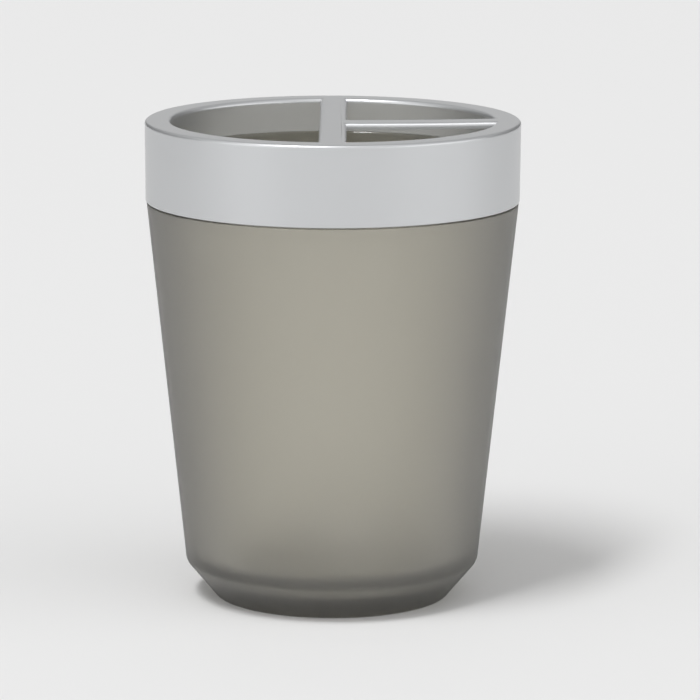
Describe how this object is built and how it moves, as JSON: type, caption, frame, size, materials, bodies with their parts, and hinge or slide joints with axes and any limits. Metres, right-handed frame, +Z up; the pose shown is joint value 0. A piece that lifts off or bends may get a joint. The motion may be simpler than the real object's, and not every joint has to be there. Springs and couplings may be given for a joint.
{
  "type": "toothbrush holder",
  "caption": "Frosted smoke-grey tumbler with a lift-off satin silver lid, whose bars split its mouth into openings for toothbrushes and toothpaste.",
  "frame": {"origin": "on the floor, at the centre of the tumbler's foot ring", "axes": "+Z up along the tumbler's axis; the lid's long bar runs along Y, and its short bar runs from it towards +X; the pictured front is the -Y side"},
  "size_m": [0.084, 0.084, 0.108],
  "materials": {
    "frosted_smoke_plastic": "translucent smoke-grey plastic with a fine frosted surface",
    "satin_silver_plastic": "plastic painted satin silver"
  },
  "bodies": {
    "tumbler": {"tumbler": "frosted_smoke_plastic"},
    "lid": {"lid": "satin_silver_plastic"}
  },
  "joints": [
    {"name": "lid_lift", "type": "slide", "parent": "tumbler", "child": "lid", "axis": [0, 0, 1], "range_m": [0, 0.04]}
  ]
}
